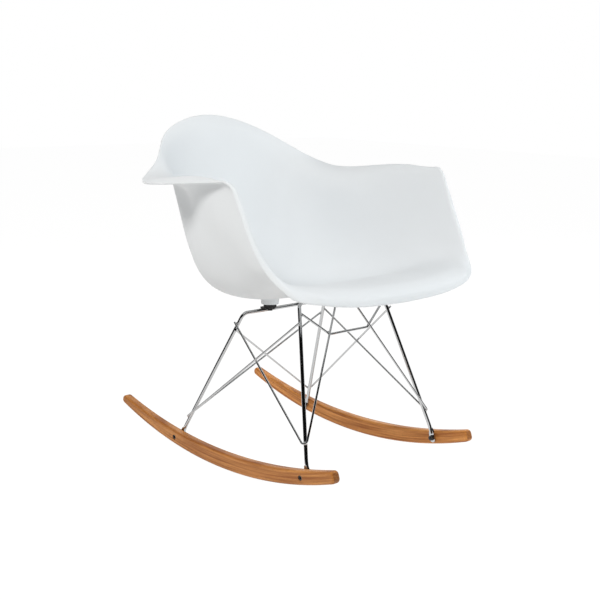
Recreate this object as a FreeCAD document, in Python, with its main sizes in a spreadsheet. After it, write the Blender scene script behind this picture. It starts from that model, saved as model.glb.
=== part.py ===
import FreeCAD, Part
import math
import os

import Sketcher
from FreeCAD import Placement, Rotation, Vector

# Rocking armchair: a moulded bucket shell on a base of bent and welded steel rod,
# bolted to two curved wooden rockers.  Millimetres, +Z up.  The chair faces -Y, its
# left side is -X, and the rockers touch the floor at Y = 0.

doc = FreeCAD.newDocument("rocking_armchair")

# Driving dimensions
SIZES = [
    # wooden rockers
    ("rocker_radius", 1002, "radius of the edge that rolls on the floor"),
    ("rocker_top_radius", 1235, "radius of the upper edge"),
    ("rocker_height", 35, "height at the floor contact"),
    ("rocker_front", 307, "reach of the front end from the floor contact"),
    ("rocker_back", 389, "reach of the rear end from the floor contact"),
    ("rocker_thickness", 20, "thickness across the chair"),
    ("rocker_inside", 192, "inner face from the chair's middle"),
    ("rocker_tip_round", 9, "round on the corners of both ends"),
    ("rocker_edge_round", 5, "round along the long edges"),
    ("rest_pitch", 1.62, "degrees the chair leans back when it stands still"),
    # heavy rods: two bows that carry the seat
    ("leg_rod", 8, "diameter of the two leg bows"),
    ("leg_bend", 14, "bend between a leg and the bar under the seat"),
    ("knee_bend", 60, "slight bend above the foot"),
    ("knee_height", 24, "bend above the foot, measured up the leg from the bolt"),
    ("foot_gap", 0.3, "rod surface to the rocker's inner face"),
    ("front_bolt_reach", 212, "front rocker bolts ahead of the floor contact"),
    ("rear_bolt_reach", 191, "rear rocker bolts behind the floor contact"),
    ("front_bar_reach", 114, "front bar ahead of the floor contact"),
    ("front_bar_rise", 5, "axis of the front bar above the seat hollow"),
    ("front_bar_half", 121, "half length of the front bar to its bends"),
    ("rear_bar_reach", 58, "rear bar behind the floor contact"),
    ("rear_bar_drop", 39.5, "axis of the rear bar below the seat hollow"),
    ("rear_bar_half", 121.6, "half length of the rear bar to its bends"),
    ("tongue_thickness", 5, "flattened foot of a leg"),
    ("tongue_width", 13, "flattened foot of a leg"),
    ("tongue_neck", 6.5, "flattened foot where it sinks into the round rod"),
    ("tongue_drop", 4, "flattened foot, straight sides below the bolt"),
    ("tongue_length", 21, "flattened foot, bolt to the full round rod"),
    ("rod_start", 9, "end of the round rod above the bolt"),
    # light wires
    ("brace_rod", 4.5, "diameter of the four bent braces"),
    ("brace_bend", 7, "bend at the foot of a brace"),
    ("brace_overrun", 6, "brace end past the rod that it is welded to"),
    ("weld_sink", 0.1, "depth to which welded rods bite into each other"),
    ("front_brace_foot", 85, "height of the front braces' bends"),
    ("rear_brace_foot", 71, "height of the rear braces' bends"),
    ("side_brace_rear_drop", 25.5, "front brace's weld on the rear leg, below the rear bar"),
    ("side_brace_front_drop", 42, "rear brace's weld on the front leg, below the front bar"),
    ("front_brace_top", 17, "front brace's weld on the front bar from the middle"),
    ("rear_brace_drop", 36.5, "rear brace's weld on the opposite leg, below the rear bar"),
    ("stretcher_rod", 5, "diameter of the dipped wire between the front legs"),
    ("stretcher_bend", 9, "bends of the dipped wire"),
    ("stretcher_drop", 20, "weld of the dipped wire on the front legs, below the front bar"),
    ("stretcher_dip", 51, "level part of the dipped wire below its welds"),
    ("stretcher_half", 56, "half length of its level part"),
    # bolts through the rockers
    ("bolt_thread", 6, "thread of every screw"),
    ("bolt_bore", 6.4, "clearance hole"),
    ("rocker_bolt_head", 10, "cap head in the rocker"),
    ("rocker_bolt_head_height", 6, "cap head in the rocker"),
    ("counterbore", 11, "recess for the cap head"),
    ("counterbore_depth", 7, "recess for the cap head"),
    ("hex_socket", 5, "socket across flats"),
    ("hex_socket_depth", 3, "socket in every head"),
    ("washer_width", 12, "washer diameter"),
    ("washer_thickness", 1.2, "washer"),
    ("nut_flats", 10, "nut across flats"),
    ("nut_height", 5, "nut"),
    ("thread_end", 1.5, "screw past its nut"),
    # seat mounts
    ("front_mount_half", 52, "front mounts from the middle"),
    ("rear_mount_half", 58, "rear mounts from the middle"),
    ("mount_offset", 14, "mount screw ahead of the axis of its bar"),
    ("tab_width", 24, "steel tab welded on a bar"),
    ("tab_thickness", 3.5, "steel tab"),
    ("spacer_width", 28, "rubber disc between tab and shell"),
    ("spacer_height", 7.5, "rubber disc"),
    ("seat_bolt_head", 11, "screw head under a tab"),
    ("seat_bolt_head_height", 4, "screw head under a tab"),
    ("insert_width", 9, "brass thread insert"),
    ("insert_height", 8, "brass thread insert"),
    ("insert_clearance", 0.04, "insert in its moulded hole, on the diameter"),
    ("boss_foot", 38, "moulded boss at the rubber disc"),
    ("boss_draft", 6, "degrees of taper on the boss"),
    # moulded shell
    ("shell_width", 634, "over both arms, without the rounded rim"),
    ("shell_depth", 618, "front lip to the top of the back"),
    ("shell_height", 374, "seat hollow to the top of the back"),
    ("seat_height", 358, "seat hollow above the floor"),
    ("shell_wall", 5, "moulded wall"),
]

sheet = doc.addObject("Spreadsheet::Sheet", "sizes")
for row, (alias, value, note) in enumerate(SIZES, start=1):
    sheet.set("A%d" % row, alias)
    sheet.set("B%d" % row, str(value))
    sheet.set("C%d" % row, note)
    sheet.setAlias("B%d" % row, alias)
doc.recompute()


def size(alias):
    return float(sheet.get(alias))


LEFT = -1
RIGHT = 1
SIDES = [("left", LEFT), ("right", RIGHT)]

# At rest the chair has rolled back on its rockers, about the axis of the rolling edge.
rest = Placement(
    Vector(0, 0, 0),
    Rotation(Vector(1, 0, 0), -size("rest_pitch")),
    Vector(0, 0, size("rocker_radius")),
)


def mirrored(vector, side):
    return Vector(vector.x * side, vector.y, vector.z)


# Bodies, sketches and features
def new_body(label, frame):
    body = doc.addObject("PartDesign::Body", label)
    body.Label = label
    body.Placement = rest * frame
    return body


def sketch_on(body, plane, name, lift=0):
    sketch = body.newObject("Sketcher::SketchObject", body.Label + "_" + name)
    support = [f for f in body.Origin.OriginFeatures if f.Role == plane][0]
    sketch.AttachmentSupport = [(support, "")]
    sketch.MapMode = "FlatFace"
    sketch.AttachmentOffset = Placement(Vector(0, 0, lift), Rotation())
    return sketch


def circle(sketch, diameter, x=0, y=0):
    index = sketch.addGeometry(Part.Circle(Vector(x, y, 0), Vector(0, 0, 1), size(diameter) / 2))
    constraint = sketch.addConstraint(Sketcher.Constraint("Diameter", index, size(diameter)))
    sketch.setExpression("Constraints[%d]" % constraint, "sizes." + diameter)


def hexagon(sketch, flats):
    corner = size(flats) / math.sqrt(3)
    points = [Vector(corner, 0, 0)]
    for turn in range(1, 6):
        points.append(Rotation(Vector(0, 0, 1), 60 * turn).multVec(points[0]))
    outline(sketch, points)


def outline(sketch, points):
    for start, end in zip(points, points[1:] + points[:1]):
        sketch.addGeometry(Part.LineSegment(start, end))


def pad(body, sketch, length, reverse=False):
    feature = body.newObject("PartDesign::Pad", sketch.Label + "_pad")
    feature.Profile = sketch
    feature.Length = size(length)
    feature.setExpression("Length", "sizes." + length)
    feature.Reversed = reverse
    doc.recompute()
    return feature


def pocket(body, sketch, depth, reverse=False):
    feature = body.newObject("PartDesign::Pocket", sketch.Label + "_pocket")
    feature.Profile = sketch
    feature.Length = size(depth)
    feature.setExpression("Length", "sizes." + depth)
    feature.Reversed = reverse
    doc.recompute()
    return feature


def round_edges(body, base, picked, radius):
    names = ["Edge%d" % n for n, edge in enumerate(base.Shape.Edges, start=1) if picked(edge)]
    feature = body.newObject("PartDesign::Fillet", base.Label + "_round")
    feature.Base = (base, names)
    feature.Radius = size(radius)
    feature.setExpression("Radius", "sizes." + radius)
    doc.recompute()
    return feature


# Wooden rockers: two arcs, the lower one rolling on the floor, with square-cut, rounded ends
def rolling_edge(y):
    radius = size("rocker_radius")
    return radius - math.sqrt(radius ** 2 - y ** 2)


def upper_edge(y):
    radius = size("rocker_top_radius")
    return size("rocker_height") + radius - math.sqrt(radius ** 2 - y ** 2)


def rocker_middle(y):
    return (rolling_edge(y) + upper_edge(y)) / 2


def end_top(y):
    # where the line through the rolling edge's centre meets the upper edge
    foot = Vector(y, rolling_edge(y), 0)
    inward = Vector(-y, size("rocker_radius") - foot.y, 0).normalize()
    centre = Vector(0, size("rocker_height") + size("rocker_top_radius"), 0)
    across = foot - centre
    along = across.dot(inward)
    reach = -along - math.sqrt(along ** 2 - across.Length ** 2 + size("rocker_top_radius") ** 2)
    return foot + inward * reach


front_bolt = Vector(0, -size("front_bolt_reach"), rocker_middle(size("front_bolt_reach")))
rear_bolt = Vector(0, size("rear_bolt_reach"), rocker_middle(size("rear_bolt_reach")))
ROCKER_BOLTS = [("front", front_bolt), ("rear", rear_bolt)]


def along_x(edge):
    first, last = edge.Vertexes[0].Point, edge.Vertexes[-1].Point
    return abs(abs(first.x - last.x) - size("rocker_thickness")) < 0.01


def make_rocker(label, side):
    inner_face = Placement(Vector(side * size("rocker_inside"), 0, 0), Rotation())
    body = new_body(label, inner_face)
    profile = sketch_on(body, "YZ_Plane", "profile")
    front = -size("rocker_front")
    back = size("rocker_back")
    low_front = Vector(front, rolling_edge(front), 0)
    low_back = Vector(back, rolling_edge(back), 0)
    low_middle = Vector(0, 0, 0)
    top_middle = Vector(0, size("rocker_height"), 0)
    lower = profile.addGeometry(Part.Arc(low_front, low_middle, low_back))
    profile.addGeometry(Part.LineSegment(low_back, end_top(back)))
    upper = profile.addGeometry(Part.Arc(end_top(back), top_middle, end_top(front)))
    profile.addGeometry(Part.LineSegment(end_top(front), low_front))
    for arc, radius in ((lower, "rocker_radius"), (upper, "rocker_top_radius")):
        constraint = profile.addConstraint(Sketcher.Constraint("Radius", arc, size(radius)))
        profile.setExpression("Constraints[%d]" % constraint, "sizes." + radius)
    blank = pad(body, profile, "rocker_thickness", side == LEFT)
    ends = round_edges(body, blank, along_x, "rocker_tip_round")
    eased = round_edges(body, ends, lambda edge: not along_x(edge), "rocker_edge_round")
    bores = sketch_on(body, "YZ_Plane", "bores")
    heads = sketch_on(body, "YZ_Plane", "heads", side * size("rocker_thickness"))
    for place, bolt in ROCKER_BOLTS:
        circle(bores, "bolt_bore", bolt.y, bolt.z)
        circle(heads, "counterbore", bolt.y, bolt.z)
    drilled = pocket(body, bores, "rocker_thickness", side == RIGHT)
    sunk = pocket(body, heads, "counterbore_depth", side == LEFT)
    body.Tip = sunk
    if not sunk.Shape.Volume < drilled.Shape.Volume < eased.Shape.Volume:
        raise ValueError("a bore of " + label + " missed the wood")
    return body


for name, side in SIDES:
    make_rocker(name + "_rocker", side)


# Bent rods: a path of straight runs and bends in one plane, swept by a round section
def draw_bent_line(sketch, corners, bends):
    start = corners[0]
    runs = 0
    for corner, following, bend in zip(corners[1:], corners[2:], bends):
        back = (start - corner).normalize()
        onward = (following - corner).normalize()
        half = back.getAngle(onward) / 2
        bisector = (back + onward).normalize()
        tangent = bend / math.tan(half)
        centre = corner + bisector * (bend / math.sin(half))
        sketch.addGeometry(Part.LineSegment(start, corner + back * tangent))
        arc = Part.Arc(corner + back * tangent, centre - bisector * bend, corner + onward * tangent)
        sketch.addGeometry(arc)
        start = corner + onward * tangent
        runs += 2
    sketch.addGeometry(Part.LineSegment(start, corners[-1]))
    return runs + 1


def make_bent_rod(label, frame, corners, bends, diameter):
    body = new_body(label, frame)
    path = sketch_on(body, "XY_Plane", "path")
    runs = draw_bent_line(path, corners, bends)
    doc.recompute()
    section = body.newObject("Sketcher::SketchObject", label + "_section")
    section.AttachmentSupport = [(path, "Edge1")]
    section.MapMode = "NormalToEdge"
    circle(section, diameter)
    doc.recompute()
    rod = body.newObject("PartDesign::AdditivePipe", label + "_rod")
    rod.Profile = section
    rod.Spine = (path, ["Edge%d" % n for n in range(1, runs + 1)])
    body.Tip = rod
    doc.recompute()
    return body


# Leg bows: each lies in one leaning plane, with X across and Y up the leg from the bolts
class LegBow:
    def __init__(self, bolt, bar_y, bar_height, bar_half, faces):
        rise = Vector(0, bar_y - bolt.y, bar_height - bolt.z)
        lean = math.degrees(math.atan2(rise.z, rise.y))
        self.frame = Placement(bolt, Rotation(Vector(1, 0, 0), lean))
        self.length = rise.Length
        self.bar_half = bar_half
        self.foot_half = size("rocker_inside") - size("leg_rod") / 2 - size("foot_gap")
        self.knee = self.frame.multVec(Vector(self.foot_half, size("knee_height"), 0))
        self.top = self.frame.multVec(Vector(bar_half, self.length, 0))
        self.axis = (self.top - self.knee).normalize()
        self.face = self.frame.Rotation.multVec(Vector(0, 0, faces))
        outward = self.axis.cross(self.face)
        self.outward = outward if outward.x > 0 else outward * -1

    def at_height(self, side, height):
        share = (height - self.knee.z) / (self.top.z - self.knee.z)
        return mirrored(self.knee + (self.top - self.knee) * share, side)

    def below_bar(self, side, drop):
        return self.at_height(side, self.top.z - size(drop))


FORWARD = 1
REARWARD = -1
front_bar_height = size("seat_height") + size("front_bar_rise")
rear_bar_height = size("seat_height") - size("rear_bar_drop")
front_bar_y = -size("front_bar_reach")
rear_bar_y = size("rear_bar_reach")
front_bow = LegBow(front_bolt, front_bar_y, front_bar_height, size("front_bar_half"), FORWARD)
rear_bow = LegBow(rear_bolt, rear_bar_y, rear_bar_height, size("rear_bar_half"), REARWARD)


def add_tongue(body, side):
    inside = size("rocker_inside")
    lift = inside - size("tongue_thickness") if side == RIGHT else -inside
    flat = sketch_on(body, "YZ_Plane", "tongue_right" if side == RIGHT else "tongue_left", lift)
    half = size("tongue_width") / 2
    neck = size("tongue_neck") / 2
    shoulder = size("rod_start")
    end = size("tongue_length")
    low = -size("tongue_drop")
    flat.addGeometry(Part.Arc(Vector(low, half, 0), Vector(low - half, 0, 0), Vector(low, -half, 0)))
    side_points = [
        Vector(low, -half, 0),
        Vector(shoulder, -half, 0),
        Vector(end, -neck, 0),
        Vector(end, neck, 0),
        Vector(shoulder, half, 0),
        Vector(low, half, 0),
    ]
    for start, finish in zip(side_points, side_points[1:]):
        flat.addGeometry(Part.LineSegment(start, finish))
    circle(flat, "bolt_bore")
    return pad(body, flat, "tongue_thickness")


def make_leg_bow(label, bow):
    corners = [
        Vector(-bow.foot_half, size("rod_start"), 0),
        Vector(-bow.foot_half, size("knee_height"), 0),
        Vector(-bow.bar_half, bow.length, 0),
        Vector(bow.bar_half, bow.length, 0),
        Vector(bow.foot_half, size("knee_height"), 0),
        Vector(bow.foot_half, size("rod_start"), 0),
    ]
    bends = [size("knee_bend"), size("leg_bend"), size("leg_bend"), size("knee_bend")]
    body = make_bent_rod(label, bow.frame, corners, bends, "leg_rod")
    for name, side in SIDES:
        body.Tip = add_tongue(body, side)


make_leg_bow("front_leg_rod", front_bow)
make_leg_bow("rear_leg_rod", rear_bow)

# Light wires, welded to the outside of the leg bows
reach = (size("leg_rod") + size("brace_rod")) / 2 - size("weld_sink")


def frame_through(first, corner, last):
    x_axis = (first - corner).normalize()
    z_axis = x_axis.cross(last - corner).normalize()
    y_axis = z_axis.cross(x_axis)
    return Placement(corner, Rotation(x_axis, y_axis, z_axis, "ZXY"))


def stand_off(outward, face, bisector, half):
    # distance of the unbent corner from the leg, each way, at which the bend just touches the leg
    inset = size("brace_bend") * (1 / math.sin(half) - 1)
    out = inset * bisector.dot(outward)
    ahead = inset * bisector.dot(face)
    return (math.sqrt(2 * reach ** 2 - (out - ahead) ** 2) - out - ahead) / 2


def make_brace(label, bow, side, foot, first_weld, last_weld):
    heel = bow.at_height(side, size(foot))
    outward = mirrored(bow.outward, side)
    face = bow.face
    toward_first = (first_weld - heel).normalize()
    toward_last = (last_weld - heel).normalize()
    half = toward_first.getAngle(toward_last) / 2
    bisector = (toward_first + toward_last).normalize()
    corner = heel + (outward + face) * stand_off(outward, face, bisector, half)
    first_end = first_weld + (first_weld - corner).normalize() * size("brace_overrun")
    last_end = last_weld + (last_weld - corner).normalize() * size("brace_overrun")
    frame = frame_through(first_end, corner, last_end)
    local = [frame.inverse().multVec(point) for point in (first_end, corner, last_end)]
    make_bent_rod(label, frame, local, [size("brace_bend")], "brace_rod")


for name, side in SIDES:
    # from the foot of a front leg: back to the top of the rear leg, and up to the front bar
    rear_leg_side = rear_bow.below_bar(side, "side_brace_rear_drop")
    rear_leg_side += mirrored(rear_bow.outward, side) * reach
    front_bar = front_bow.frame.multVec(Vector(side * size("front_brace_top"), front_bow.length, 0))
    front_bar += front_bow.face * reach
    make_brace(name + "_front_brace", front_bow, side, "front_brace_foot", rear_leg_side, front_bar)
    # from the foot of a rear leg: forward to the top of the front leg, and across to the other
    # rear leg, one wire behind both legs and the other ending in front, so that the two cross clear
    front_leg_side = front_bow.below_bar(side, "side_brace_front_drop")
    front_leg_side += mirrored(front_bow.outward, side) * reach
    other_leg = rear_bow.below_bar(-side, "rear_brace_drop")
    other_leg -= rear_bow.face * reach * side
    make_brace(name + "_rear_brace", rear_bow, side, "rear_brace_foot", front_leg_side, other_leg)


def make_stretcher():
    leg = front_bow.below_bar(RIGHT, "stretcher_drop")
    weld = front_bow.frame.inverse().multVec(leg)
    level = front_bow.at_height(RIGHT, leg.z - size("stretcher_dip"))
    dip = front_bow.frame.inverse().multVec(level).y
    half = size("stretcher_half")
    toward_leg = Vector(weld.x - half, weld.y - dip, 0).normalize()
    leg_line = Vector(front_bow.bar_half - front_bow.foot_half, front_bow.length - size("knee_height"), 0)
    tilt = abs(toward_leg.dot(leg_line.normalize()))
    square = math.sqrt(1 - tilt ** 2)
    ahead = reach - (size("brace_rod") + size("stretcher_rod")) / 2 + size("weld_sink")
    leg_skin = math.sqrt((size("leg_rod") / 2) ** 2 - ahead ** 2)
    stop = (leg_skin - size("weld_sink") + tilt * size("stretcher_rod") / 2) / square
    end = Vector(weld.x, weld.y, 0) - toward_leg * stop
    frame = front_bow.frame * Placement(Vector(0, 0, ahead), Rotation())
    corners = [
        mirrored(end, LEFT),
        Vector(-half, dip, 0),
        Vector(half, dip, 0),
        end,
    ]
    bend = size("stretcher_bend")
    make_bent_rod("front_stretcher", frame, corners, [bend, bend], "stretcher_rod")


make_stretcher()


# Screws, washers and nuts
def make_ring(label, frame, outside, bore, height):
    body = new_body(label, frame)
    ring = sketch_on(body, "XY_Plane", "ring")
    circle(ring, outside)
    circle(ring, bore)
    body.Tip = pad(body, ring, height)


def make_nut(label, frame):
    body = new_body(label, frame)
    nut = sketch_on(body, "XY_Plane", "hexagon")
    hexagon(nut, "nut_flats")
    circle(nut, "bolt_bore")
    body.Tip = pad(body, nut, "nut_height")


def make_screw(label, frame, head, head_height, shank):
    # the head's underside lies in the frame's XY plane, and the shank points along +Z
    body = new_body(label, frame)
    crown = sketch_on(body, "XY_Plane", "head")
    circle(crown, head)
    pad(body, crown, head_height, True)
    stem = sketch_on(body, "XY_Plane", "shank")
    circle(stem, "bolt_thread")
    rod = body.newObject("PartDesign::Pad", label + "_shank")
    rod.Profile = stem
    rod.Length = shank
    doc.recompute()
    socket = sketch_on(body, "XY_Plane", "socket", -size(head_height))
    hexagon(socket, "hex_socket")
    body.Tip = pocket(body, socket, "hex_socket_depth", True)


inside = size("rocker_inside")
tongue = size("tongue_thickness")
washer = size("washer_thickness")
wood_under_head = size("rocker_thickness") - size("counterbore_depth")
clamped = wood_under_head + tongue + washer + size("nut_height")
for name, side in SIDES:
    inward = Rotation(Vector(0, 0, 1), Vector(-side, 0, 0))
    for place, bolt in ROCKER_BOLTS:
        where = "_%s_%s" % (name, place)
        seat = Placement(bolt + Vector(side * (inside + wood_under_head), 0, 0), inward)
        shank = clamped + size("thread_end")
        make_screw("rocker_bolt" + where, seat, "rocker_bolt_head", "rocker_bolt_head_height", shank)
        seat = Placement(bolt + Vector(side * (inside - tongue), 0, 0), inward)
        make_ring("rocker_washer" + where, seat, "washer_width", "bolt_bore", "washer_thickness")
        seat = Placement(bolt + Vector(side * (inside - tongue - washer), 0, 0), inward)
        make_nut("rocker_nut" + where, seat)

# Seat mounts: a steel tab on the bar, a rubber disc, a screw from below and a brass insert above
def make_tab(label, frame):
    # the bar runs under the frame's X axis, and the screw stands ahead of it
    body = new_body(label, frame)
    plate = sketch_on(body, "XY_Plane", "plate")
    half = size("tab_width") / 2
    back = size("leg_rod") / 2
    ahead = -size("mount_offset")
    plate.addGeometry(Part.LineSegment(Vector(-half, ahead, 0), Vector(-half, back, 0)))
    plate.addGeometry(Part.LineSegment(Vector(-half, back, 0), Vector(half, back, 0)))
    plate.addGeometry(Part.LineSegment(Vector(half, back, 0), Vector(half, ahead, 0)))
    tip = Vector(0, ahead - half, 0)
    plate.addGeometry(Part.Arc(Vector(half, ahead, 0), tip, Vector(-half, ahead, 0)))
    circle(plate, "bolt_bore", 0, ahead)
    body.Tip = pad(body, plate, "tab_thickness")


tab = size("tab_thickness")
spacer = size("spacer_height")
MOUNTS = [
    ("front", front_bar_y, front_bar_height, size("front_mount_half")),
    ("rear", rear_bar_y, rear_bar_height, size("rear_mount_half")),
]
boss_seats = []
for place, bar_y, bar_height, mount_half in MOUNTS:
    bar_top = bar_height + size("leg_rod") / 2
    for name, side in SIDES:
        where = "_%s_%s" % (name, place)
        make_tab("seat_tab" + where, Placement(Vector(side * mount_half, bar_y, bar_top), Rotation()))
        screw = Vector(side * mount_half, bar_y - size("mount_offset"), bar_top)
        shank = tab + spacer + size("insert_height")
        seat = Placement(screw, Rotation())
        make_screw("seat_bolt" + where, seat, "seat_bolt_head", "seat_bolt_head_height", shank)
        seat = Placement(screw + Vector(0, 0, tab), Rotation())
        make_ring("seat_spacer" + where, seat, "spacer_width", "bolt_bore", "spacer_height")
        seat = Placement(screw + Vector(0, 0, tab + spacer), Rotation())
        make_ring("seat_insert" + where, seat, "insert_width", "bolt_thread", "insert_height")
        boss_seats.append(screw + Vector(0, 0, tab + spacer))

# Moulded shell: ribs over the inner skin, from the middle out to the front edge of an arm.
# Each runs from the front lip over the seat and up the wall to the rim, as half width out from
# the middle, distance behind the floor contact and height above the floor.
SHELL_RIBS = [
    # middle: lip, seat hollow, top of the back
    [(0, -297, 375), (0, -294, 391), (0, -278, 404), (0, -244, 410), (0, -155, 402), (0, -45, 366),
     (0, 115, 358), (0, 207, 423), (0, 256, 540), (0, 287, 655), (0, 303, 706), (0, 321, 732)],
    # shoulder of the back
    [(50, -297, 376), (51, -294, 392), (53, -278, 405), (56, -243, 411), (63, -155, 402), (75, -48, 366),
     (90, 108, 359), (106, 192, 424), (118, 240, 536), (126, 268, 632), (129, 279, 675), (134, 294, 699)],
    # where the back drops to the arm
    [(100, -295, 378), (102, -291, 393), (106, -275, 406), (112, -240, 412), (122, -155, 403),
     (141, -52, 372), (165, 82, 374), (179, 150, 437), (182, 186, 530), (185, 204, 592),
     (193, 217, 625), (208, 231, 646)],
    # rear tip of the arm
    [(148, -291, 382), (152, -286, 397), (158, -269, 409), (168, -232, 415), (182, -154, 407),
     (200, -70, 394), (217, 36, 421), (219, 87, 480), (214, 108, 535), (215, 122, 579),
     (236, 146, 607), (280, 185, 611)],
    # middle of the arm, with its wide turned-out flange
    [(190, -283, 387), (196, -277, 402), (205, -258, 413), (217, -222, 420), (231, -165, 423),
     (243, -98, 436), (251, -36, 474), (254, 6, 519), (256, 31, 562), (263, 47, 594),
     (284, 72, 614), (317, 110, 604)],
    # front of the arm, where the flange narrows
    [(224, -272, 393), (231, -264, 407), (240, -246, 418), (252, -217, 429), (265, -182, 446),
     (274, -150, 471), (280, -122, 504), (284, -98, 541), (287, -80, 577), (291, -67, 605),
     (300, -55, 620), (314, -40, 613)],
    # where the wall begins to turn out to the front edge
    [(247, -260, 398), (254, -251, 411), (262, -237, 424), (271, -219, 440), (280, -198, 461),
     (286, -176, 488), (289, -160, 517), (291, -147, 547), (294, -133, 575), (297, -121, 598),
     (303, -108, 614), (311, -95, 618)],
    # crest of the turned-out edge
    [(257, -254, 401), (265, -246, 413), (272, -234, 427), (280, -219, 444), (288, -203, 466),
     (293, -187, 491), (296, -172, 520), (297, -159, 549), (299, -146, 577), (301, -135, 599),
     (305, -122, 613), (311, -105, 619)],
    # front edge, from the corner of the lip to the corner of the arm
    [(264, -248, 404), (272, -239, 414), (281, -226, 428), (289, -212, 444), (297, -198, 466),
     (302, -184, 492), (305, -169, 521), (306, -156, 550), (307, -143, 577), (308, -134, 597),
     (309, -126, 609), (311, -114, 617)],
]
# places of the ribs along the skin, closer together at the front edge, and of the points on a rib
RIB_PLACES = [0, 1, 2, 3, 4, 5, 5.4, 5.54, 5.64]
ROW_PLACES = [float(row) for row in range(len(SHELL_RIBS[0]))]


def drawn_span(axis):
    values = [point[axis] for rib in SHELL_RIBS for point in rib]
    return max(values) - min(values)


hollow = min(point[2] for rib in SHELL_RIBS for point in rib)
stretch = Vector(
    size("shell_width") / (2 * drawn_span(0)),
    size("shell_depth") / drawn_span(1),
    size("shell_height") / drawn_span(2),
)


def placed(point, side):
    return Vector(
        side * point[0] * stretch.x,
        point[1] * stretch.y,
        size("seat_height") + (point[2] - hollow) * stretch.z,
    )


def curve_through(points, places):
    curve = Part.BSplineCurve()
    curve.interpolate(Points=points, Parameters=places)
    return curve


CUBIC = 3


def surface_of(rows, knots, multiplicities, first):
    # rows of poles side by side, each row with the knots of the first curve
    surface = Part.BSplineSurface()
    surface.buildFromPolesMultsKnots(
        rows,
        multiplicities,
        first.getMultiplicities(),
        knots,
        first.getKnots(),
        False,
        False,
        CUBIC,
        CUBIC,
    )
    return surface


def skin_through(columns):
    # one cubic surface through every point
    ribs = [curve_through(column, ROW_PLACES) for column in columns]
    rows = [curve_through(list(row), column_places) for row in zip(*[rib.getPoles() for rib in ribs])]
    poles = [list(column) for column in zip(*[row.getPoles() for row in rows])]
    return surface_of(poles, rows[0].getKnots(), rows[0].getMultiplicities(), ribs[0])


right_ribs = [[placed(point, RIGHT) for point in rib] for rib in SHELL_RIBS]
left_ribs = [[placed(point, LEFT) for point in rib] for rib in SHELL_RIBS[:0:-1]]
inner_points = left_ribs + right_ribs
column_places = [float(-place) for place in RIB_PLACES[:0:-1]] + [float(place) for place in RIB_PLACES]
inner_skin = skin_through(inner_points)


def points_below(depth):
    columns = []
    for u, column in zip(column_places, inner_points):
        columns.append([point - inner_skin.normal(u, v) * depth for point, v in zip(column, ROW_PLACES)])
    return columns


def off_the_edge(u, v):
    # direction away from the skin in its tangent plane; at a corner, between both edges
    along_u, along_v = inner_skin.tangent(u, v)
    away = Vector()
    if u in (column_places[0], column_places[-1]):
        across = (along_u - along_v * along_u.dot(along_v)).normalize()
        away += across * math.copysign(1, u)
    if v in (ROW_PLACES[0], ROW_PLACES[-1]):
        across = (along_v - along_u * along_v.dot(along_u)).normalize()
        away += across * (1 if v == ROW_PLACES[-1] else -1)
    return away.normalize()


# reach of the poles that turn a cubic into a half round, as a share of its diameter
HALF_ROUND = 2 / 3


def rounded_rim(inner, outer, spots, places):
    # half round across, from the edge of one skin to the edge of the other
    bulge = wall * HALF_ROUND
    away = [off_the_edge(u, v) * bulge for u, v in spots]
    bulged_inner = [point + step for point, step in zip(inner, away)]
    bulged_outer = [point + step for point, step in zip(outer, away)]
    curves = [curve_through(row, places) for row in (inner, bulged_inner, bulged_outer, outer)]
    return surface_of([curve.getPoles() for curve in curves], [0.0, 1.0], [CUBIC + 1] * 2, curves[0])


wall = size("shell_wall")
outer_points = points_below(wall)
outer_skin = skin_through(outer_points)
faces = [inner_skin.toShape(), outer_skin.toShape()]
for end in (0, -1):
    up_the_edge = [(column_places[end], v) for v in ROW_PLACES]
    faces.append(rounded_rim(inner_points[end], outer_points[end], up_the_edge, ROW_PLACES).toShape())
    along_the_rim = [(u, ROW_PLACES[end]) for u in column_places]
    inner_row = [column[end] for column in inner_points]
    outer_row = [column[end] for column in outer_points]
    faces.append(rounded_rim(inner_row, outer_row, along_the_rim, column_places).toShape())
closed = Part.Shell(faces)
closed.sewShape()
moulding = Part.Solid(closed)
if moulding.Volume < 0:
    moulding.reverse()

# the four bosses grow out of the underside; the room above the middle of the wall trims their tops
room = skin_through(points_below(wall / 2)).toShape().extrude(Vector(0, 0, size("shell_height")))
boss_height = 2 * size("boss_foot")
for seat in boss_seats:
    foot = size("boss_foot") / 2
    head = foot + boss_height * math.tan(math.radians(size("boss_draft")))
    boss = Part.makeCone(foot, head, boss_height, seat).cut(room)
    boss = min(boss.Solids, key=lambda solid: solid.BoundBox.ZMin)
    hole_radius = (size("insert_width") + size("insert_clearance")) / 2
    hole = Part.makeCylinder(hole_radius, size("insert_height"), seat)
    moulding = moulding.fuse(boss).cut(hole)
if len(moulding.Solids) != 1:
    raise ValueError("the shell and its bosses are not one moulding")
shell = doc.addObject("Part::Feature", "seat_shell")
shell.Label = "seat_shell"
shell.Shape = moulding.Solids[0]
shell.Placement = rest

# Check every object, then write one file per sub-part
doc.recompute()
for item in doc.Objects:
    if "Invalid" in item.State or "Error" in item.State:
        raise ValueError(item.Label + " did not build")
os.makedirs("parts", exist_ok=True)
nodes = [item for item in doc.Objects if item.TypeId == "PartDesign::Body"] + [shell]
for node in nodes:
    if node.Shape.isNull() or not node.Shape.isValid() or len(node.Shape.Solids) != 1:
        raise ValueError(node.Label + " is not one valid solid")
    node.Shape.exportStep("parts/%s.step" % node.Label)
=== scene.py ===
import math

import bmesh
import bpy
from mathutils import Matrix, Vector, noise
from mathutils.bvhtree import BVHTree


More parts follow.
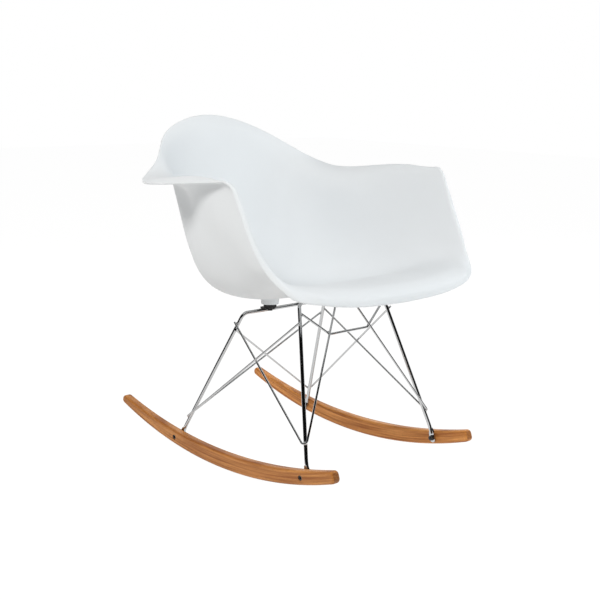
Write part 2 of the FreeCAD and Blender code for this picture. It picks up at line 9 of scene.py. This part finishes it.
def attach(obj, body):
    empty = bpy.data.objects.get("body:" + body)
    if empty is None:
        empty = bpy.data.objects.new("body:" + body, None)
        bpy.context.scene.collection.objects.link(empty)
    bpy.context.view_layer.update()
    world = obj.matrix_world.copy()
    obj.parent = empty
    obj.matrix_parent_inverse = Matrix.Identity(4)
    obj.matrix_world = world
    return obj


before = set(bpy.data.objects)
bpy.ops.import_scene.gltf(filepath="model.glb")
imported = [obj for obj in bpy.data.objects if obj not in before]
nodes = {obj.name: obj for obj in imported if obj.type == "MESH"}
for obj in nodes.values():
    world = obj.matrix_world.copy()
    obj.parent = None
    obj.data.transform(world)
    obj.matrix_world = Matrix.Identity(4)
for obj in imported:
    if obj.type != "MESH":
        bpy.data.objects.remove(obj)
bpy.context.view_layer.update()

# Rockers.  Two runners of beech, bent in layers over a form, sanded round at the ends and
# oiled.  The grain follows the curve that rolls on the floor; each runner is drilled for two
# bolts with sunk heads.
ROLL_RADIUS = 1.002
BEECH_LIGHT = (0.64, 0.286, 0.080, 1)
BEECH_MIDDLE = (0.45, 0.163, 0.035, 1)
BEECH_DARK = (0.24, 0.072, 0.012, 1)
BEECH_END = (0.15, 0.050, 0.014, 1)
BEECH_PORE = (0.18, 0.058, 0.015, 1)
# painted light: the right runner is painted 1.3 times lighter than the left, to cancel the shadow that
# the seat shell casts on it
BOARD_PAINTED_LIGHT = {"left_rocker": 1.0, "right_rocker": 1.30}
# length along the runner, width across it and depth into it of each mark of the grain
STREAK_SIZE = (0.160, 0.014, 0.0042)
CLOUD_SIZE = (0.070, 0.030, 0.020)
FLECK_SIZE = (0.0120, 0.0022, 0.0011)
PORE_SIZE = (0.0065, 0.0012, 0.00065)
# where in the grain a mark begins and is full, and how much of its colour then shows
MIDDLE_GRAIN = (0.30, 0.70)
STREAK_EDGES = (0.36, 0.64)
CLOUD_SHARE = (0.10, 0.50)
FLECK_EDGES = (0.60, 0.72)
FLECK_SHARE = (0.0, 0.30)
PORE_EDGES = (0.62, 0.72)
PORE_SHARE = (0.0, 0.55)
END_EDGES = (0.62, 0.98)
END_SHARE = (0.0, 0.70)
OIL_ROUGHNESS = (0.50, 0.36)
OIL_SHINE = 0.32
OIL_COAT = 0.05
OIL_COAT_ROUGHNESS = 0.30
STREAK_RIDGE = 0.35
PORE_PIT = (0.60, 0.75)
GRAIN_DEPTH = 0.00006
GRAIN_STRENGTH = 0.6


def new_finish(name):
    finish = bpy.data.materials.new(name)
    finish.use_nodes = True
    return finish


def feed(finish, source, socket):
    # a socket takes either another node's output or a plain value
    if isinstance(source, bpy.types.NodeSocket):
        finish.node_tree.links.new(source, socket)
    else:
        socket.default_value = source


def add_node(finish, kind, inputs, **settings):
    node = finish.node_tree.nodes.new("ShaderNode" + kind)
    for name, value in settings.items():
        setattr(node, name, value)
    for key, source in inputs.items():
        feed(finish, source, node.inputs[key])
    return node


def place_on(finish):
    return add_node(finish, "TexCoord", {}).outputs["Object"]


def reckon(finish, operation, first, second=0.0):
    return add_node(finish, "Math", {0: first, 1: second}, operation=operation).outputs[0]


def grain(finish, place, scale, detail=3.0, roughness=0.5):
    inputs = {"Vector": place, "Scale": scale, "Detail": detail, "Roughness": roughness}
    return add_node(finish, "TexNoise", inputs).outputs["Fac"]


def spread(finish, value, edges, levels=(0.0, 1.0)):
    # the first level up to the lower edge, the second from the higher edge on
    inputs = {"Value": value, "From Min": edges[0], "From Max": edges[1]}
    inputs.update({"To Min": levels[0], "To Max": levels[1]})
    return add_node(finish, "MapRange", inputs).outputs["Result"]


def tint(finish, share, first, second):
    # a mixing node has sockets for every kind of value; these are the ones for colours
    return add_node(finish, "Mix", {0: share, 6: first, 7: second}, data_type="RGBA").outputs[2]


def finish_shader(finish, **values):
    shader = finish.node_tree.nodes["Principled BSDF"]
    for name, source in values.items():
        feed(finish, source, shader.inputs[name.replace("_", " ").title().replace("Ior", "IOR")])


def raise_surface(finish, height, depth, strength=1.0):
    inputs = {"Height": height, "Distance": depth, "Strength": strength}
    bump = add_node(finish, "Bump", inputs)
    finish_shader(finish, normal=bump.outputs["Normal"])


def wear(finish, node_names):
    for name in node_names:
        for slot in nodes[name].material_slots:
            slot.material = finish


def beech_finish(board, painted_light):
    beech = new_finish("oiled_beech_" + board)
    shades = (BEECH_LIGHT, BEECH_MIDDLE, BEECH_DARK, BEECH_END, BEECH_PORE)
    # painted light: every colour of the board is scaled by its factor, which lifts the right runner out
    # of the seat's shadow
    light, middle, dark, end, deep = [(painted_light * r, painted_light * g, painted_light * b, 1) for r, g, b, full in shades]

    # the board was bent, so its grain is measured along and out from the rolling curve
    split = add_node(beech, "SeparateXYZ", {"Vector": place_on(beech)})
    drop = reckon(beech, "SUBTRACT", ROLL_RADIUS, split.outputs["Z"])
    turn = reckon(beech, "ARCTAN2", split.outputs["Y"], drop)
    along = reckon(beech, "MULTIPLY", turn, ROLL_RADIUS)
    level_squared = reckon(beech, "MULTIPLY", split.outputs["Y"], split.outputs["Y"])
    drop_squared = reckon(beech, "MULTIPLY", drop, drop)
    out = reckon(beech, "SQRT", reckon(beech, "ADD", level_squared, drop_squared))

    def marks(size, detail, roughness=0.5):
        length, width, depth = size
        inputs = {
            "X": reckon(beech, "DIVIDE", split.outputs["X"], width),
            "Y": reckon(beech, "DIVIDE", along, length),
            "Z": reckon(beech, "DIVIDE", out, depth),
        }
        stretched = add_node(beech, "CombineXYZ", inputs).outputs[0]
        return grain(beech, stretched, 1.0, detail, roughness)

    streak = marks(STREAK_SIZE, detail=4.0, roughness=0.55)
    cloud = marks(CLOUD_SIZE, detail=2.0)
    pore = marks(PORE_SIZE, detail=2.0)
    fleck = marks(FLECK_SIZE, detail=1.0)
    colour = tint(beech, spread(beech, streak, STREAK_EDGES), dark, light)
    colour = tint(beech, spread(beech, cloud, MIDDLE_GRAIN, CLOUD_SHARE), colour, middle)
    colour = tint(beech, spread(beech, fleck, FLECK_EDGES, FLECK_SHARE), colour, dark)
    colour = tint(beech, spread(beech, pore, PORE_EDGES, PORE_SHARE), colour, deep)

    # end grain drinks more oil, so the ends are darker
    normal = add_node(beech, "NewGeometry", {}).outputs["Normal"]
    face = add_node(beech, "SeparateXYZ", {"Vector": normal})
    level_part = reckon(beech, "MULTIPLY", face.outputs["Y"], reckon(beech, "COSINE", turn))
    rising_part = reckon(beech, "MULTIPLY", face.outputs["Z"], reckon(beech, "SINE", turn))
    facing = reckon(beech, "ABSOLUTE", reckon(beech, "ADD", level_part, rising_part))
    colour = tint(beech, spread(beech, facing, END_EDGES, END_SHARE), colour, end)

    finish_shader(
        beech,
        base_color=colour,
        roughness=spread(beech, streak, MIDDLE_GRAIN, OIL_ROUGHNESS),
        specular_ior_level=OIL_SHINE,
        coat_weight=OIL_COAT,
        coat_roughness=OIL_COAT_ROUGHNESS,
    )
    ridges = reckon(beech, "MULTIPLY", streak, STREAK_RIDGE)
    height = reckon(beech, "SUBTRACT", ridges, spread(beech, pore, PORE_PIT))
    raise_surface(beech, height, GRAIN_DEPTH, GRAIN_STRENGTH)
    return beech


for board, painted_light in BOARD_PAINTED_LIGHT.items():
    wear(beech_finish(board, painted_light), [board])

# Leg bows, braces and stretcher.  Round steel rod, bent cold, flattened at the feet, welded
# together as one base and bright plated; the plating is faintly uneven where it was buffed.
PLATE_COLOUR = (0.550, 0.556, 0.560, 1)
PLATE_CLOUDS = 55.0
ROD_ROUGHNESS = (0.10, 0.18)
ROD_RIPPLE = 0.000006
SIDES = ("left", "right")
ENDS = ("front", "rear")
BOWS = ["front_leg_rod", "rear_leg_rod"]
WIRES = ["front_stretcher"] + [f"{side}_{end}_brace" for side in SIDES for end in ENDS]


def plated_finish(name, roughness, ripple):
    plate = new_finish(name)
    cloud = grain(plate, place_on(plate), PLATE_CLOUDS)
    finish_shader(
        plate,
        base_color=PLATE_COLOUR,
        metallic=1.0,
        roughness=spread(plate, cloud, MIDDLE_GRAIN, roughness),
    )
    raise_surface(plate, cloud, ripple)
    return plate


wear(plated_finish("bright_plating", ROD_ROUGHNESS, ROD_RIPPLE), BOWS + WIRES)

# Weld beads.  A brace crosses the rods that it holds and is welded to each, and the stretcher is
# welded to the front legs and braces.  A bead is a short rippled lump laid along the wire, and it
# is plated over with the rods.
BEAD_HALF_LENGTH = 0.0046
BEAD_HALF_WIDTH = 0.0036
BEAD_HALF_HEIGHT = 0.0021
BEAD_BLUNTNESS = 2.6
BEAD_RINGS = 16
BEAD_SIDES = 20
BEAD_RIPPLES = 5
BEAD_RIPPLE_DEPTH = 0.06
BEAD_LUMP_DEPTH = 0.16
BEAD_LUMP_SIZE = 0.0035
TOUCH_REACH = 0.0006
TOUCH_STEP = 0.001
WELD_SPREAD = 0.014
BUTT_SHARE = 0.4
WELD_ROUGHNESS = (0.12, 0.26)
WELD_RIPPLE = 0.00003


def rod_skin(name):
    mesh = nodes[name].data
    return BVHTree.FromPolygons([v.co for v in mesh.vertices], [face.vertices for face in mesh.polygons])


def touching(wire, rod):
    # places on the rod's skin that an edge of the wire's mesh runs along or meets
    skin = rod_skin(rod)
    mesh = nodes[wire].data
    found = []
    for edge in mesh.edges:
        start, end = [mesh.vertices[n].co for n in edge.vertices]
        steps = max(1, round((end - start).length / TOUCH_STEP))
        for step in range(steps + 1):
            place, out, face, gap = skin.find_nearest(start.lerp(end, step / steps), TOUCH_REACH)
            if place is not None:
                found.append((place, out, end - start))
    return found


def welds_of(found):
    # touching places close together belong to one weld
    welds = []
    for touch in found:
        near = [weld for weld in welds if (weld[0][0] - touch[0]).length < WELD_SPREAD]
        if near:
            near[0].append(touch)
        else:
            welds.append([touch])
    return welds


def middle_of(weld):
    centre = sum((place for place, out, run in weld), Vector()) / len(weld)
    out = sum((out for place, out, run in weld), Vector()).normalized()
    longest = max((run for place, out, run in weld), key=lambda run: run.length).normalized()
    along = longest - out * longest.dot(out)
    # a wire that butts against the rod has no run along it, so its bead lies any way round
    if along.length < BUTT_SHARE:
        along = out.orthogonal()
    return centre, out, along.normalized()


def lay_bead(beads, centre, out, along):
    across = out.cross(along)

    def skin(length, turn):
        girth = math.sqrt(max(0.0, 1 - abs(length) ** BEAD_BLUNTNESS))
        girth *= 1 + BEAD_RIPPLE_DEPTH * math.cos(BEAD_RIPPLES * math.pi * length)
        side = across * (BEAD_HALF_WIDTH * math.cos(turn)) + out * (BEAD_HALF_HEIGHT * math.sin(turn))
        place = centre + along * (BEAD_HALF_LENGTH * length) + side * girth
        lump = noise.noise(place / BEAD_LUMP_SIZE)
        return place + side * (girth * BEAD_LUMP_DEPTH * lump)

    tips = [beads.verts.new(skin(length, 0)) for length in (-1, 1)]
    turns = [2 * math.pi * side / BEAD_SIDES for side in range(BEAD_SIDES)]
    rings = []
    for ring in range(1, BEAD_RINGS):
        length = -math.cos(math.pi * ring / BEAD_RINGS)
        rings.append([beads.verts.new(skin(length, turn)) for turn in turns])
    for side in range(BEAD_SIDES):
        following = (side + 1) % BEAD_SIDES
        beads.faces.new((tips[0], rings[0][following], rings[0][side]))
        for ring, beyond in zip(rings, rings[1:]):
            beads.faces.new((ring[side], ring[following], beyond[following], beyond[side]))
        beads.faces.new((tips[1], rings[-1][side], rings[-1][following]))


def set_down(name, data):
    thing = bpy.data.objects.new(name, data)
    bpy.context.scene.collection.objects.link(thing)
    return thing


def weld_beads():
    pairs = [(wire, bow) for wire in WIRES for bow in BOWS]
    pairs += [(f"{side}_front_brace", "front_stretcher") for side in SIDES]
    beads = bmesh.new()
    for wire, rod in pairs:
        for weld in welds_of(touching(wire, rod)):
            lay_bead(beads, *middle_of(weld))
    bmesh.ops.recalc_face_normals(beads, faces=beads.faces)
    for face in beads.faces:
        face.smooth = True
    mesh = bpy.data.meshes.new("weld_beads")
    beads.to_mesh(mesh)
    beads.free()
    mesh.materials.append(plated_finish("plated_weld", WELD_ROUGHNESS, WELD_RIPPLE))
    piece = set_down("weld_beads", mesh)
    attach(piece, "root")


weld_beads()

# Bolts, washers and nuts of the feet.  Each foot is held to its rocker by a cap screw sunk in
# the wood, with a washer and a hexagon nut inside; the steel is blackened and lightly oiled.
BLACKED = (0.022, 0.022, 0.024, 1)
RUBBED = (0.16, 0.155, 0.15, 1)
RUBBED_EDGES = (0.52, 0.60)
RUBBED_SPECKS = (0.40, 0.60)
SPECKS = 700.0
SPECK_DEPTH = 0.00001
BLACKED_METAL = 0.85
BLACKED_ROUGHNESS = (0.34, 0.55)
CORNERS = [f"{side}_{end}" for side in SIDES for end in ENDS]
FOOT_STEEL = ["rocker_bolt_", "rocker_washer_", "rocker_nut_"]


def at_each_corner(pieces):
    return [piece + corner for piece in pieces for corner in CORNERS]


def blacked_finish():
    black = new_finish("blackened_steel")
    speck = grain(black, place_on(black), SPECKS, detail=4.0, roughness=0.6)
    edge = spread(black, add_node(black, "NewGeometry", {}).outputs["Pointiness"], RUBBED_EDGES)
    rubbed = reckon(black, "MULTIPLY", edge, spread(black, speck, RUBBED_SPECKS))
    finish_shader(
        black,
        base_color=tint(black, rubbed, BLACKED, RUBBED),
        metallic=BLACKED_METAL,
        roughness=spread(black, speck, MIDDLE_GRAIN, BLACKED_ROUGHNESS),
    )
    raise_surface(black, speck, SPECK_DEPTH)
    return black


blackened = blacked_finish()
wear(blackened, at_each_corner(FOOT_STEEL))

# Seat mounts.  A black tab is welded to the bar at each mount, and a screw goes up through the
# tab and a rubber disc into a brass thread insert pressed into a boss of the shell.
MOUNT_STEEL = ["seat_tab_", "seat_bolt_"]
RUBBER = (0.018, 0.018, 0.019, 1)
RUBBER_DUSTY = (0.045, 0.043, 0.041, 1)
DUST = 140.0
DUST_EDGES = (0.45, 0.75)
RUBBER_ROUGHNESS = (0.62, 0.82)
RUBBER_SKIN = 1500.0
RUBBER_SKIN_DEPTH = 0.00004
BRASS = (0.72, 0.47, 0.18, 1)
BRASS_TARNISHED = (0.42, 0.25, 0.09, 1)
TARNISH = 260.0
TARNISH_EDGES = (0.40, 0.70)
TARNISH_DEPTH = 0.00002
BRASS_ROUGHNESS = (0.22, 0.40)


def rubber_finish():
    rubber = new_finish("moulded_rubber")
    place = place_on(rubber)
    dust = grain(rubber, place, DUST, detail=5.0, roughness=0.6)
    finish_shader(
        rubber,
        base_color=tint(rubber, spread(rubber, dust, DUST_EDGES), RUBBER, RUBBER_DUSTY),
        roughness=spread(rubber, dust, MIDDLE_GRAIN, RUBBER_ROUGHNESS),
    )
    raise_surface(rubber, grain(rubber, place, RUBBER_SKIN, detail=2.0), RUBBER_SKIN_DEPTH)
    return rubber


def brass_finish():
    brass = new_finish("turned_brass")
    tarnish = grain(brass, place_on(brass), TARNISH, detail=4.0)
    finish_shader(
        brass,
        base_color=tint(brass, spread(brass, tarnish, TARNISH_EDGES), BRASS, BRASS_TARNISHED),
        metallic=1.0,
        roughness=spread(brass, tarnish, MIDDLE_GRAIN, BRASS_ROUGHNESS),
    )
    raise_surface(brass, tarnish, TARNISH_DEPTH)
    return brass


wear(blackened, at_each_corner(MOUNT_STEEL))
wear(rubber_finish(), at_each_corner(["seat_spacer_"]))
wear(brass_finish(), at_each_corner(["seat_insert_"]))

# Seat shell.  One moulding of white plastic, back, seat and turned-out arms in a single skin
# with a satin, finely textured face; four bosses underneath take the mount screws.
SHELL_WHITE = (0.785, 0.812, 0.832, 1)
SHELL_SHADE = (0.745, 0.771, 0.790, 1)
SHELL_SCUFF = (0.690, 0.695, 0.690, 1)
FLOW = 5.0
FLOW_EDGES = (0.35, 0.65)
FLOW_SHARE = (0.0, 0.35)
FLOW_SWELL = 6.0
SCUFFS = 38.0
SCUFF_EDGES = (0.66, 0.80)
SCUFF_SHARE = (0.0, 0.18)
SHELL_ROUGHNESS = (0.46, 0.58)
SHELL_SHINE = 0.45
SHELL_TEXTURE = 1100.0
SHELL_TEXTURE_DEPTH = 0.00003


def shell_finish():
    plastic = new_finish("satin_white_plastic")
    place = place_on(plastic)
    flow = grain(plastic, place, FLOW)
    texture = grain(plastic, place, SHELL_TEXTURE, detail=2.0)
    scuff = grain(plastic, place, SCUFFS, detail=6.0, roughness=0.65)
    colour = tint(plastic, spread(plastic, flow, FLOW_EDGES, FLOW_SHARE), SHELL_WHITE, SHELL_SHADE)
    colour = tint(plastic, spread(plastic, scuff, SCUFF_EDGES, SCUFF_SHARE), colour, SHELL_SCUFF)
    finish_shader(
        plastic,
        base_color=colour,
        roughness=spread(plastic, scuff, MIDDLE_GRAIN, SHELL_ROUGHNESS),
        specular_ior_level=SHELL_SHINE,
    )
    height = reckon(plastic, "ADD", texture, reckon(plastic, "MULTIPLY", flow, FLOW_SWELL))
    raise_surface(plastic, height, SHELL_TEXTURE_DEPTH)
    return plastic


wear(shell_finish(), ["seat_shell"])

# Studio.  A white floor in a white room, lit by a warm softbox high on the left, three cool ones
# on the right, a warm one behind and a faint one low on the left.  A dark curtain stands round
# behind the camera, where only bright metal sees it.
WHITE = (1, 1, 1, 1)
FLOOR_HALF = 9.0
FLOOR_WHITE = (0.86, 0.85, 0.83, 1)
FLOOR_ROUGHNESS = 0.9
FLOOR_GLOW = 0.90
FLOOR_GLOW_LEVEL = 1.08
FLOOR_BOUNCE = 0.20
ROOM_LIGHT = 0.20
SEAT_MIDDLE = Vector((0.0, 0.0, 0.42))
WARM = (1.0, 0.98, 0.955)
COOL = (0.95, 0.985, 1.0)
# place, width, height, watts and colour of each softbox; all face the middle of the seat
SOFTBOXES = {
    "key_softbox": ((-2.60, -0.40, 2.58), 1.5, 0.7, 72.0, WARM),
    "low_right_softbox": ((1.30, -2.70, 0.80), 1.2, 1.0, 27.0, COOL),
    "high_right_softbox": ((1.00, -2.00, 2.90), 1.0, 1.0, 24.0, COOL),
    "far_right_softbox": ((2.60, -1.00, 1.60), 1.2, 1.2, 13.0, COOL),
    "low_left_softbox": ((-2.40, -1.30, 0.35), 1.2, 0.5, 2.0, WARM),
    "back_softbox": ((0.90, 2.80, 0.90), 1.2, 1.2, 22.0, WARM),
}
TOWARDS_CAMERA = Vector((-0.69, -0.724, 0.0))
SWEEP_RADIUS = 0.85
CURTAIN_BLACK = (0.01, 0.01, 0.01, 1)
CURTAIN_RADIUS = 4.5
CURTAIN_HALF_TURN = math.radians(105)
CURTAIN_STEPS = 36
CURTAIN_TIERS = 12
CURTAIN_FOOT = 0.004


def white_where_seen(surface):
    # 1 where the camera looks, also by way of a mirror or glass; 0 where it only lights the chair
    path = add_node(surface, "LightPath", {})
    seen = path.outputs["Is Camera Ray"]
    for kind in ("Is Glossy Ray", "Is Transmission Ray"):
        seen = reckon(surface, "MAXIMUM", seen, path.outputs[kind])
    return seen


def white_floor():
    corners = [(-FLOOR_HALF, -FLOOR_HALF, 0), (FLOOR_HALF, -FLOOR_HALF, 0)]
    corners += [(FLOOR_HALF, FLOOR_HALF, 0), (-FLOOR_HALF, FLOOR_HALF, 0)]
    mesh = bpy.data.meshes.new("floor")
    mesh.from_pydata(corners, [], [(0, 1, 2, 3)])
    paint = new_finish("floor_white")
    finish_shader(paint, base_color=FLOOR_WHITE, roughness=FLOOR_ROUGHNESS, specular_ior_level=0.0)
    glow = add_node(paint, "Emission", {"Color": WHITE, "Strength": FLOOR_GLOW_LEVEL})
    share = reckon(paint, "MULTIPLY", white_where_seen(paint), FLOOR_GLOW)
    share = reckon(paint, "MAXIMUM", share, FLOOR_BOUNCE)
    paint_nodes = paint.node_tree.nodes
    shader = paint_nodes["Principled BSDF"]
    mix = add_node(paint, "MixShader", {0: share, 1: shader.outputs[0], 2: glow.outputs[0]})
    feed(paint, mix.outputs[0], paint_nodes["Material Output"].inputs["Surface"])
    mesh.materials.append(paint)
    floor = set_down("floor", mesh)


def white_room():
    room = bpy.data.worlds.new("white_room")
    room.use_nodes = True
    walls = room.node_tree.nodes["Background"]
    feed(room, WHITE, walls.inputs["Color"])
    level = spread(room, white_where_seen(room), (0.0, 1.0), (ROOM_LIGHT, 1.0))
    feed(room, level, walls.inputs["Strength"])
    bpy.context.scene.world = room


def softbox(name, place, width, height, watts, colour):
    light = bpy.data.lights.new(name, "AREA")
    light.shape = "RECTANGLE"
    light.size = width
    light.size_y = height
    light.energy = watts
    light.color = colour
    lamp = set_down(name, light)
    lamp.location = place
    lamp.rotation_mode = "QUATERNION"
    lamp.rotation_quaternion = (SEAT_MIDDLE - Vector(place)).to_track_quat("-Z", "Y")
    # its bright spots would break the thin wires up into dots
    lamp.visible_glossy = False


def dark_curtain():
    # from the edge of the white sweep out over the floor, then up and over as half a dome
    profile = [(SWEEP_RADIUS, 0.0)]
    for tier in range(CURTAIN_TIERS):
        rise = math.pi / 2 * tier / CURTAIN_TIERS
        profile.append((CURTAIN_RADIUS * math.cos(rise), CURTAIN_RADIUS * math.sin(rise)))
    points = []
    for step in range(CURTAIN_STEPS + 1):
        turn = CURTAIN_HALF_TURN * (2 * step / CURTAIN_STEPS - 1)
        outward = Matrix.Rotation(turn, 3, "Z") @ TOWARDS_CAMERA
        points += [outward * reach + Vector((0, 0, CURTAIN_FOOT + rise)) for reach, rise in profile]
    row = len(profile)
    panels = []
    for step in range(CURTAIN_STEPS):
        for low in range(step * row, step * row + row - 1):
            panels.append((low, low + row, low + row + 1, low + 1))
    mesh = bpy.data.meshes.new("dark_curtain")
    mesh.from_pydata(points, [], panels)
    cloth = new_finish("curtain_black")
    finish_shader(cloth, base_color=CURTAIN_BLACK, roughness=1.0, specular_ior_level=0.0)
    mesh.materials.append(cloth)
    curtain = set_down("dark_curtain", mesh)
    for kind in ("camera", "diffuse", "shadow", "transmission", "volume_scatter"):
        setattr(curtain, "visible_" + kind, False)


white_floor()
white_room()
for name, settings in SOFTBOXES.items():
    softbox(name, *settings)
dark_curtain()

# Camera.  It stands at the near front corner, a little above the seat, and was set up with the
# chair upright; the chair then rolled back to rest, and the camera turned with it.
CAMERA_PLACE = Vector((-1.717, -1.799, 0.774))
CAMERA_TARGET = Vector((0.0, 0.011, 0.3383))
CAMERA_LENS = 69.91
CAMERA_SENSOR = 36.0
REST_PITCH = math.radians(1.62)

camera = set_down("camera", bpy.data.cameras.new("camera"))
camera.data.lens = CAMERA_LENS
camera.data.sensor_width = CAMERA_SENSOR
looking = (CAMERA_TARGET - CAMERA_PLACE).to_track_quat("-Z", "Y").to_matrix().to_4x4()
rolling_axis = Matrix.Translation((0, 0, ROLL_RADIUS))
roll_back = rolling_axis @ Matrix.Rotation(-REST_PITCH, 4, "X") @ rolling_axis.inverted()
camera.matrix_world = roll_back @ Matrix.Translation(CAMERA_PLACE) @ looking
bpy.context.scene.camera = camera
bpy.context.scene.view_settings.view_transform = "Standard"
